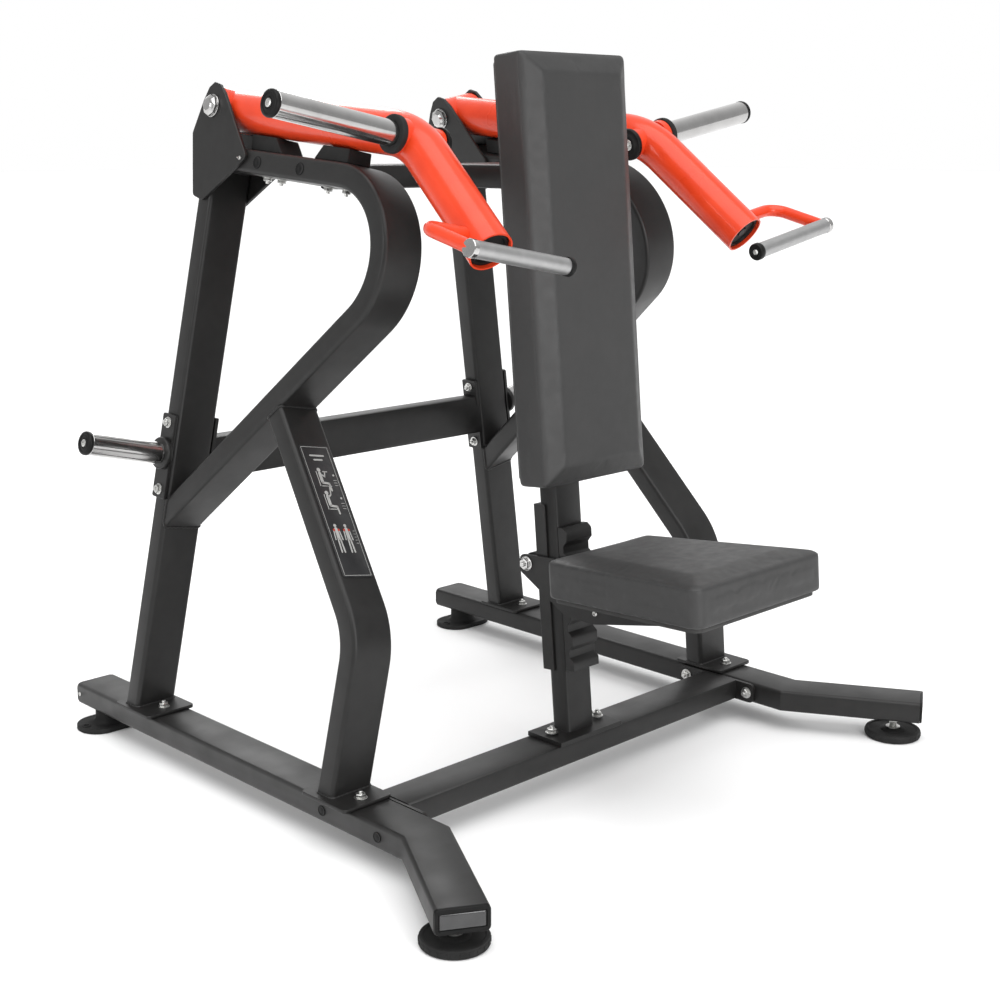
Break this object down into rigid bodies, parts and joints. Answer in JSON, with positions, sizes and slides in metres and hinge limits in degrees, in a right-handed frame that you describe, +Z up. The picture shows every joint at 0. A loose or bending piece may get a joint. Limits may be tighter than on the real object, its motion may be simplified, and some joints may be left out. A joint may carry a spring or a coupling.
{
  "type": "shoulder press machine",
  "caption": "Plate-loaded shoulder press with two converging lever arms on leaning side frames, a fixed backrest and a height-adjustable seat on a notched post.",
  "frame": {"origin": "on the floor, under the centre of the machine's bounding box", "axes": "+Z up, +X to the machine's right seen from the front, the user faces -Y"},
  "size_m": [1.557, 1.5334, 1.54],
  "materials": {
    "frame_paint": "satin graphite-black powder coat",
    "arm_paint": "gloss orange-red powder coat",
    "chrome": "bright chrome plate",
    "satin_steel": "satin, finely ribbed steel",
    "bronze": "machined bronze bushing",
    "plastic": "moulded black plastic",
    "rubber": "black rubber",
    "pad": "charcoal leatherette, fine grain"
  },
  "bodies": {
    "frame": {"left_base_rail": "frame_paint", "left_rear_foot": "rubber", "left_levelling_foot": "rubber", "left_rail_rear_cap": "plastic", "left_rail_front_cap": "plastic", "left_rear_post": "frame_paint", "left_side_tube": "frame_paint", "left_front_leg": "frame_paint", "left_outer_pivot_plate": "frame_paint", "left_inner_pivot_plate": "frame_paint", "left_pivot_bolt": "chrome", "left_front_stop_block": "rubber", "left_rear_stop_block": "rubber", "left_storage_bracket": "frame_paint", "left_storage_sleeve": "chrome", "left_storage_cap": "plastic", "right_base_rail": "frame_paint", "right_rear_foot": "rubber", "right_levelling_foot": "rubber", "right_rail_rear_cap": "plastic", "right_rail_front_cap": "plastic", "right_rear_post": "frame_paint", "right_side_tube": "frame_paint", "right_front_leg": "frame_paint", "right_outer_pivot_plate": "frame_paint", "right_inner_pivot_plate": "frame_paint", "right_pivot_bolt": "chrome", "right_front_stop_block": "rubber", "right_rear_stop_block": "rubber", "right_storage_bracket": "frame_paint", "right_storage_sleeve": "chrome", "right_storage_cap": "plastic", "front_crossbar": "frame_paint", "lower_crossbeam": "frame_paint", "upper_crossbeam": "frame_paint", "central_post": "frame_paint", "seat_rack": "frame_paint", "seat_guide_channel": "frame_paint", "backrest_pad": "pad"},
    "left_arm": {"left_arm_tube": "arm_paint", "left_arm_end_plug": "plastic", "left_pivot_bushing": "bronze", "left_plate_horn": "chrome", "left_horn_collar": "rubber", "left_horn_cap": "plastic", "left_handle_bar": "arm_paint", "left_hand_grip": "satin_steel", "left_grip_cap": "plastic"},
    "right_arm": {"right_arm_tube": "arm_paint", "right_arm_end_plug": "plastic", "right_pivot_bushing": "bronze", "right_plate_horn": "chrome", "right_horn_collar": "rubber", "right_horn_cap": "plastic", "right_handle_bar": "arm_paint", "right_hand_grip": "satin_steel", "right_grip_cap": "plastic"},
    "seat_slider": {"seat_roller": "chrome"},
    "seat": {"seat_carriage": "frame_paint", "seat_pad": "pad"}
  },
  "joints": [
    {"name": "left_arm_press", "type": "hinge", "parent": "frame", "child": "left_arm", "pos_m": [-0.33439, 0.4529, 1.42828], "axis": [-0.9835, 0, 0.1809], "range_deg": [0, 45]},
    {"name": "right_arm_press", "type": "hinge", "parent": "frame", "child": "right_arm", "pos_m": [0.33439, 0.4529, 1.42828], "axis": [-0.9835, 0, -0.1809], "range_deg": [0, 45]},
    {"name": "seat_height", "type": "slide", "parent": "frame", "child": "seat_slider", "axis": [0, 0.0929, 0.9957], "range_m": [-0.171, 0.057]},
    {"name": "seat_release_tilt", "type": "hinge", "parent": "seat_slider", "child": "seat", "pos_m": [0, -0.1757, 0.471], "axis": [-1, 0, 0], "range_deg": [0, 8]}
  ]
}
